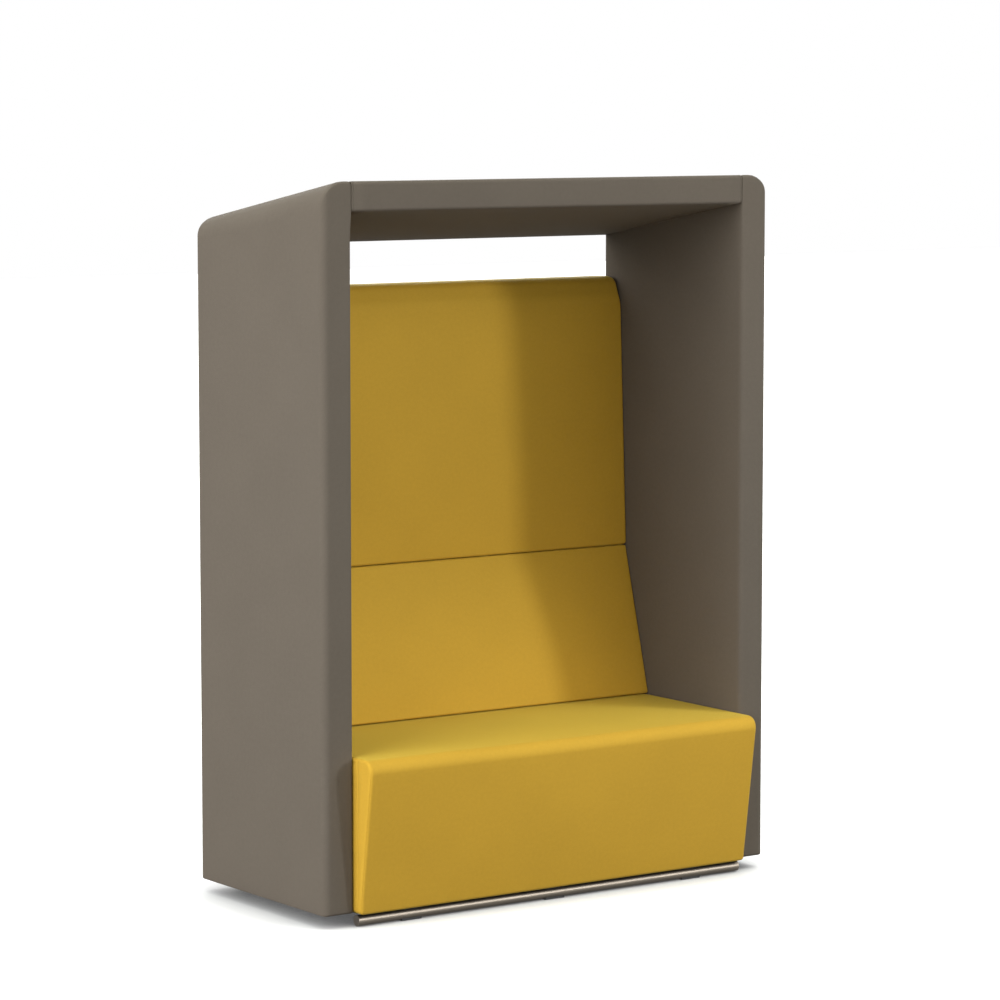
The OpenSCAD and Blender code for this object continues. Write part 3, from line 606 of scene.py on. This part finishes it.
def even_skin(piece, grain):
    """A copy of a pad with even faces of that size."""
    skin = bpy.data.objects.new(piece.name + "_skin", piece.data.copy())
    bpy.context.scene.collection.objects.link(skin)
    remesh = skin.modifiers.new("even faces", "REMESH")
    remesh.mode = "VOXEL"
    remesh.voxel_size = grain
    even = bpy.data.meshes.new_from_object(skin.evaluated_get(bpy.context.evaluated_depsgraph_get()))
    skin.modifiers.clear()
    skin.data = even
    return skin


def blown_up(skin, held):
    """How far each point of a skin moves when the held points stay and the rest is blown up."""
    start = positions(skin.data)
    pins = skin.vertex_groups.new(name="held")
    pins.add([int(i) for i in np.flatnonzero(held(start))], 1.0, "REPLACE")
    cover = skin.modifiers.new("cover", "CLOTH")
    cover.settings.vertex_group_mass = "held"
    cover.settings.use_pressure = True
    cover.settings.uniform_pressure_force = foam_pressure
    cover.settings.effector_weights.gravity = 0.0
    cover.collision_settings.use_collision = False
    cover.point_cache.frame_start = 1
    cover.point_cache.frame_end = last_frame
    for moment in range(1, last_frame + 1):
        bpy.context.scene.frame_set(moment)
    shape = skin.evaluated_get(bpy.context.evaluated_depsgraph_get())
    end = positions(shape.to_mesh())
    shape.to_mesh_clear()
    bpy.context.scene.frame_set(1)
    return start, end - start


def swollen(piece, held, free, most, grain=12 * MM):
    """Moves a pad with its blown-up skin, by most at most, and not where free gives 0."""
    skin = even_skin(piece, grain)
    start, moved = blown_up(skin, held)
    bpy.data.objects.remove(skin)
    tree = KDTree(len(start))
    for i, place in enumerate(start):
        tree.insert(place, i)
    tree.balance()
    points = positions(piece.data)
    moves = np.zeros_like(points)
    for i, point in enumerate(points):
        near = tree.find_range(point, 2.5 * grain)
        weights = np.array([math.exp(-(distance / grain) ** 2) for _, _, distance in near])
        moves[i] = weights @ moved[[index for _, index, _ in near]] / weights.sum()
    moves *= free(points)[:, None]
    longest = np.linalg.norm(moves, axis=1).max()
    moves *= min(1.0, most / longest)
    piece.data.vertices.foreach_set("co", (points + moves).ravel())
    piece.data.update()
    print(piece.name, "has a skin of", len(start), "points")
    print("it swells", round(longest / MM, 1), "mm and is held to", round(most / MM))


# %% [markdown]
# ## The side walls
# Each wall is a timber frame in foam and cloth. Its edges toward the sitter are crisp, its outer
# edges soft, and its outer top edge is a big round. It could be one bevelled box per wall, but a
# box can't have these different rounds, so each wall is lofted across its thickness. Beside the
# roof the soft front edge tightens, as the cloth of both is pressed together there.

# %% Walls
wall_thick = 87 * MM
wall_front, wall_rear = -268 * MM, 344 * MM
wall_low, wall_top, wall_drop = 34.5 * MM, 1880 * MM, 104 * MM
cabin_half = 619 * MM
inner_edge, inner_front_edge, roof_line_edge = 8 * MM, 10 * MM, 3 * MM
hem_edge = 4 * MM
outer_edge, outer_top_edge = 18 * MM, 64 * MM
roof_thick = 76 * MM

wall_outline = [
    (wall_front, wall_low), (wall_rear, wall_low), (wall_rear, wall_top - wall_drop), (wall_front, wall_top),
]
wall_corner_rounds = [8 * MM] * 4
inner_edges = [hem_edge, inner_edge, inner_edge, inner_front_edge]
outer_edges = [hem_edge, outer_edge, outer_top_edge, outer_edge]


def tight_beside_roof(inner_x):
    """Sharpens the wall's soft inner front edge where the roof panel meets it."""
    def reshape(x, outline):
        distance = abs(x - inner_x)
        wide = edge_inset(distance, inner_front_edge)
        tight = edge_inset(distance, roof_line_edge)
        roof_under = wall_top - roof_thick
        edge = wall_front + wide
        beside = smooth_step(outline[:, 1], roof_under - 70 * MM, roof_under - 2 * MM)
        near_front = 1 - smooth_step(outline[:, 0], edge + 1 * MM, edge + 30 * MM)
        moved = outline.copy()
        moved[:, 0] -= (wide - tight) * beside * near_front
        return moved
    return reshape


outer_crown = 2.5 * MM
right_wall = upholstered(
    "right_wall_upholstery", wall_outline, wall_corner_rounds, [0.0] * 4,
    cabin_half, cabin_half + wall_thick, inner_edges, outer_edges,
    cap_crowns=(0.0, outer_crown), least_round=6 * MM, side_steps=96,
    reshape=tight_beside_roof(cabin_half),
)
dress(right_wall, taupe_cloth, "taupe_fabric", "right_wall_cover")
left_wall = upholstered(
    "left_wall_upholstery", wall_outline, wall_corner_rounds, [0.0] * 4,
    -cabin_half - wall_thick, -cabin_half, outer_edges, inner_edges,
    cap_crowns=(outer_crown, 0.0), least_round=6 * MM, side_steps=96,
    reshape=tight_beside_roof(-cabin_half),
)
dress(left_wall, taupe_cloth, "taupe_fabric", "left_wall_cover")

# %% [markdown]
# ## The roof
# The roof is made like the walls and pressed between them. It could share one mesh with them, but
# the photograph shows a thin line at each end, so it is a piece of its own. Its ends have a tight
# edge, and a seam runs round just beside each one.

# %% Roof
roof_half = cabin_half - 0.5 * MM
roof_outline = [
    (wall_front, wall_top - roof_thick), (wall_rear, wall_top - wall_drop - roof_thick),
    (wall_rear, wall_top - wall_drop), (wall_front, wall_top),
]
roof = upholstered(
    "roof_upholstery", roof_outline, [8 * MM] * 4, [0.0, 0.0, 2.0 * MM, 0.5 * MM], -roof_half, roof_half,
    [2.5 * MM] * 4, [2.5 * MM] * 4, seam=(6 * MM, 1.4 * MM, 0.9 * MM), crown_stations=25,
)
dress(roof, taupe_cloth, "taupe_fabric", "roof_cover")

# %% [markdown]
# ## The seat
# The seat is one long cushion whose cover runs over a soft nose and down almost to the floor. The
# front leans back toward its foot, so that heels have room. A long box with a rounded edge would
# look hard. So the outline from the side is lofted with a small round at each end, and the cloth
# simulation lets the foam push the cover out in the middle while the seams hold its ends.

# %% Seat
pad_half = cabin_half - 0.5 * MM
seam_place, seam_half_width, seam_depth = 3.5 * MM, 1.4 * MM, 0.7 * MM
pad_seam = (seam_place, seam_half_width, seam_depth)
nose_y = -344 * MM
seat_low, seat_high = 34 * MM, 431 * MM
cover_top = seat_high + 2 * MM
seat_rear, seat_under_back = 187 * MM, 90 * MM
foam_nose_round, cover_nose_round = 55 * MM, 32 * MM
front_lean = math.radians(7.9)
nose_drop = seat_high - foam_nose_round - seat_low
foot_y = nose_y + nose_drop * math.tan(front_lean) - foam_nose_round * (1 / math.cos(front_lean) - 1)
corner_y = foot_y - (cover_top - seat_low) * math.tan(front_lean)
seat_edges = [13 * MM, 3 * MM, 6 * MM, 10 * MM]
seat_outline = [(foot_y, seat_low), (seat_rear, seat_low), (seat_rear, cover_top), (corner_y, cover_top)]
seat_rounds = [8 * MM, 8 * MM, 8 * MM, cover_nose_round]
seat_bulges = [0.0, 0.0, 1 * MM, 1 * MM]
seat = upholstered(
    "seat_cushion", seat_outline, seat_rounds, seat_bulges, -pad_half, pad_half, seat_edges, seat_edges,
    seam=pad_seam, arc_steps=14, crown_stations=31,
)


def from_ends(points):
    """How far points are from the nearer end of a pad."""
    return pad_half - np.abs(points[:, 0])


def seat_held(points):
    """True where the seat's cover is sewn at the ends, lies under the back or is stapled below."""
    under_back = points[:, 1] > seat_under_back
    return (from_ends(points) < 2 * MM) | under_back | (points[:, 2] < seat_low + 3 * MM)


def seat_free(points):
    """How freely points of the seat may move, from 0 to 1."""
    return (
        smooth_step(from_ends(points), 4 * MM, 36 * MM)
        * smooth_step(seat_under_back - points[:, 1], 0, 120 * MM)
        * smooth_step(points[:, 2] - seat_low, 8 * MM, 60 * MM)
    )


def side_seam(piece, y, width, depth):
    """Sinks a fine upright groove into both ends of a pad, where two cloths are sewn together."""
    work = bmesh.new()
    work.from_mesh(piece.data)
    for share in (-1, -0.5, 0, 0.5, 1):
        everything = work.verts[:] + work.edges[:] + work.faces[:]
        cut_at = (0, y + share * width, 0)
        bmesh.ops.bisect_plane(work, geom=everything, plane_co=cut_at, plane_no=(0, 1, 0))
    for point in work.verts:
        near = abs(point.co.y - y) / width
        if abs(point.co.x) > pad_half - 1.5 * MM and near < 1:
            point.co.x -= math.copysign(depth * (1 - near ** 2), point.co.x)
    work.to_mesh(piece.data)
    work.free()


swollen(seat, seat_held, seat_free, 4 * MM)
side_seam(seat, -286 * MM, 2.5 * MM, 1.0 * MM)
dress(seat, mustard_cloth, "mustard_fabric", "seat_cover", fill=0.85)

# %% [markdown]
# ## The lower back
# The lower pad leans like a chair's back. It could be a straight pad turned by the lean, but its
# lower edge lies level on the seat and its upper edge level under the next pad. So the outline
# has its lean built in, and is lofted and swollen as the seat was.

# %% Lower back pad
def leaning(foot, lean, z):
    """The depth of a leaning face at a height."""
    return foot[0] + (z - foot[1]) * math.tan(lean)


joint_z = 842 * MM
joint_gap = 2.5 * MM
lower_foot = (132 * MM, 436 * MM)
joint_y = 236.3 * MM
upper_step = 3 * MM
lower_lean = math.atan((joint_y + upper_step - lower_foot[0]) / (joint_z - lower_foot[1]))
lower_depth = 67.6 * MM
lower_top = joint_z - joint_gap / 2
lower_outline = [
    lower_foot, (lower_foot[0] + lower_depth, lower_foot[1]),
    (leaning(lower_foot, lower_lean, lower_top) + lower_depth, lower_top),
    (leaning(lower_foot, lower_lean, lower_top), lower_top),
]
lower_rounds = [5 * MM, 2 * MM, 2 * MM, 6 * MM]
lower_edges = [6 * MM, 2 * MM, 6 * MM, 6 * MM]
lower_back = upholstered(
    "lower_back_pad", lower_outline, lower_rounds, [0.0, 0.0, 0.0, 2 * MM], -pad_half, pad_half,
    lower_edges, lower_edges, seam=pad_seam, least_round=2 * MM, crown_stations=31,
)


def lower_back_face(points):
    """How far points lie behind the lower pad's leaning face."""
    return points[:, 1] - lower_foot[0] - (points[:, 2] - lower_foot[1]) * math.tan(lower_lean)


def lower_back_held(points):
    """True where the lower pad's cover is sewn at the ends, stapled behind or tucked in on top."""
    behind = lower_back_face(points) > 25 * MM
    return (from_ends(points) < 2 * MM) | behind | (points[:, 2] > lower_top - 3 * MM)


def lower_back_free(points):
    """How freely points of the lower pad may move, from 0 to 1."""
    return (
        smooth_step(from_ends(points), 4 * MM, 45 * MM)
        * smooth_step(20 * MM - lower_back_face(points), 0, 15 * MM)
        * smooth_step(points[:, 2] - lower_foot[1], 2 * MM, 30 * MM)
        * smooth_step(lower_top - points[:, 2], 3 * MM, 40 * MM)
    )


swollen(lower_back, lower_back_held, lower_back_free, 5 * MM)
dress(lower_back, mustard_cloth, "mustard_fabric", "lower_back_cover", fill=0.85)

# %% [markdown]
# ## The upper back
# The upper pad stands almost upright and ends in a soft slope, because its foam is thinned toward
# the top. A bevel on the top edge would be too even, so its outline has a fifth corner with a
# long round of its own. It meets the lower pad in a narrow dark joint.

# %% Upper back pad
back_top = 1589 * MM
upper_rear = 333.7 * MM
upper_lean = math.atan(32 * MM / (back_top - joint_z))
slope_rise, slope_run = 55 * MM, 20 * MM
upper_low = joint_z + joint_gap / 2
upper_foot = (joint_y, joint_z)
upper_outline = [
    (leaning(upper_foot, upper_lean, upper_low), upper_low), (upper_rear, upper_low), (upper_rear, back_top),
    (leaning(upper_foot, upper_lean, back_top) + slope_run, back_top),
    (leaning(upper_foot, upper_lean, back_top - slope_rise), back_top - slope_rise),
]
upper_edges = [12 * MM, 2 * MM, 24 * MM, 16 * MM, 6 * MM]
upper_rounds = [6 * MM, 2 * MM, 2 * MM, 28 * MM, 80 * MM]
upper_back = upholstered(
    "upper_back_pad", upper_outline, upper_rounds, [0.0, 0.0, 0.0, 0.0, 2 * MM], -pad_half, pad_half,
    upper_edges, upper_edges, seam=pad_seam, least_round=2 * MM, crown_stations=31,
)


def upper_back_held(points):
    """True where the upper pad's cover is sewn at the ends, stapled behind or tucked in below."""
    behind = points[:, 1] > upper_rear - 25 * MM
    return (from_ends(points) < 2 * MM) | behind | (points[:, 2] < upper_low + 3 * MM)


def upper_back_free(points):
    """How freely points of the upper pad may move, from 0 to 1."""
    return (
        smooth_step(from_ends(points), 4 * MM, 45 * MM)
        * smooth_step(upper_rear - 20 * MM - points[:, 1], 0, 20 * MM)
        * smooth_step(points[:, 2] - upper_low, 3 * MM, 40 * MM)
        * smooth_step(back_top - points[:, 2], 0, 60 * MM)
    )


swollen(upper_back, upper_back_held, upper_back_free, 5 * MM)
dress(upper_back, mustard_cloth, "mustard_fabric", "upper_back_cover", fill=0.85)

# %% [markdown]
# ## The rear panel
# Behind the ribs a thin upholstered board closes the back, in the same taupe cloth. Its place is
# read from the measured model, so it can't drift, and the same loft gives it small soft edges.

# %% Rear panel
rear_low, rear_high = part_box("rear_panel_cover")
rear_outline = [
    (rear_low.y, rear_low.z), (rear_high.y, rear_low.z),
    (rear_high.y, rear_high.z), (rear_low.y, rear_high.z),
]
rear_panel = upholstered(
    "rear_panel_upholstery", rear_outline, [1 * MM, 4 * MM, 4 * MM, 1 * MM], [0.0, 1.5 * MM, 0.0, 0.0],
    rear_low.x, rear_high.x, [3 * MM] * 4, [3 * MM] * 4, least_round=1 * MM, crown_stations=25,
)
dress(rear_panel, taupe_cloth, "taupe_fabric", "rear_panel_cover")

# %% [markdown]
# ## Steel, plywood and the rest
# The tubes are brushed steel with a warm tint. Under the cloth the booth is plywood, foam and
# felt. These pieces could be modelled again, but the measured model has their exact shapes, so
# they only get finishes. Each finish wanders between two tones, along a grain where it has one.

# %% Finishes for the measured pieces
def plain_material(name, roughness, metallic=0.0):
    """A principled material with its nodes, ready for a pattern."""
    material = bpy.data.materials.new(name)
    material.use_nodes = True
    nodes = material.node_tree.nodes
    links = material.node_tree.links
    shader = nodes["Principled BSDF"]
    shader.inputs["Roughness"].default_value = roughness
    shader.inputs["Metallic"].default_value = metallic
    place = nodes.new("ShaderNodeTexCoord")
    return material, nodes, links, shader, place.outputs["Object"]


def stretched(nodes, links, place, scale):
    """The same place with each direction scaled, for patterns with a grain."""
    mapping = nodes.new("ShaderNodeMapping")
    mapping.inputs["Scale"].default_value = scale
    links.new(place, mapping.inputs["Vector"])
    return mapping.outputs["Vector"]


def two_tone(name, dark, light, scale, grain=(1, 1, 1), roughness=0.6, metallic=0.0, relief=0.0):
    """A finish that wanders between two tones, along a grain."""
    material, nodes, links, shader, place = plain_material(name, roughness, metallic)
    where = stretched(nodes, links, place, grain)
    tone = noise(nodes, links, where, scale, 4.0, 0.3, 0.7)
    links.new(mix_colours(nodes, links, tone, dark, light), shader.inputs["Base Color"])
    if relief:
        bump = nodes.new("ShaderNodeBump")
        bump.inputs["Strength"].default_value = 0.3
        bump.inputs["Distance"].default_value = relief
        links.new(tone, bump.inputs["Height"])
        links.new(bump.outputs[0], shader.inputs["Normal"])
    return material


brushed_steel = two_tone(
    "brushed steel", (0.168, 0.146, 0.12), (0.224, 0.196, 0.162), 600,
    grain=(0.02, 1, 1), roughness=0.42, metallic=1.0, relief=0.02 * MM,
)
# The saddles' steel is painted near-black as painted shade, so that they stay dark in the gap under the
# seat.
steel_painted_dark_as_shade = two_tone(
    "steel painted dark as shade", (0.02, 0.019, 0.018), (0.045, 0.042, 0.04), 90,
    roughness=0.7, metallic=1.0, relief=0.03 * MM,
)
plywood = two_tone(
    "plywood", (0.42, 0.28, 0.15), (0.58, 0.42, 0.25), 14,
    grain=(1, 1, 12), roughness=0.7, relief=0.1 * MM,
)
foam = two_tone(
    "cut foam", (0.72, 0.66, 0.47), (0.80, 0.75, 0.57), 700, roughness=0.9, relief=0.4 * MM,
)
felt = two_tone(
    "grey felt", (0.20, 0.21, 0.22), (0.34, 0.35, 0.36), 500, roughness=0.95, relief=0.5 * MM,
)
black_cloth = two_tone(
    "black cloth", (0.012, 0.012, 0.013), (0.03, 0.03, 0.032), 900, roughness=0.9, relief=0.2 * MM,
)
zinc = two_tone("zinc plate", (0.50, 0.51, 0.53), (0.62, 0.63, 0.65), 220, roughness=0.4, metallic=1.0)
black_plastic = two_tone(
    "black plastic", (0.014, 0.014, 0.015), (0.022, 0.022, 0.023), 500,
    roughness=0.55, relief=0.05 * MM,
)
print("finishes:", len(bpy.data.materials))

# %% [markdown]
# ## Who gets which finish
# A table from piece to finish is easier to check than forty assignments. What the table leaves
# out is plywood, and the fabric covers are skipped, because the pieces above stand for them.

# %% Give the finishes to the measured pieces
finishes = {
    "front_rail": brushed_steel, "rear_rail": brushed_steel, "rail_caps": brushed_steel,
    "rail_saddles": steel_painted_dark_as_shade, "rail_glides": black_plastic,
    "dust_cloth": black_cloth, "seat_webbing": black_cloth,
    "left_wall_foam": foam, "right_wall_foam": foam, "roof_foam": foam, "seat_foam": foam,
    "lower_back_foam": foam, "upper_back_foam": foam,
    "left_wall_absorber": felt, "right_wall_absorber": felt, "roof_absorber": felt,
    "saddle_screws": zinc, "joining_studs": zinc, "joining_nuts": zinc,
    "seat_bolts": zinc, "board_screws": zinc,
}
stood_for = {
    "left_wall_cover", "right_wall_cover", "roof_cover", "seat_cover",
    "lower_back_cover", "upper_back_cover", "rear_panel_cover",
}
for name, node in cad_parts.items():
    if name in stood_for:
        continue
    for place in node.material_slots:
        place.material = finishes.get(name, plywood)
print("finished", len(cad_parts) - len(stood_for), "measured pieces")

# %% [markdown]
# ## Check the size
# The dressed booth must still fit the measured model's box, give or take the softness of cloth.
# It could be judged by eye, but numbers are surer, so both boxes are written down and compared.

# %% Sizes
dressed_low, dressed_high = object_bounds()
grown_low = [round(v / MM, 1) for v in model_low - dressed_low]
grown_high = [round(v / MM, 1) for v in dressed_high - model_high]
print("grown by in mm:", grown_low, grown_high)
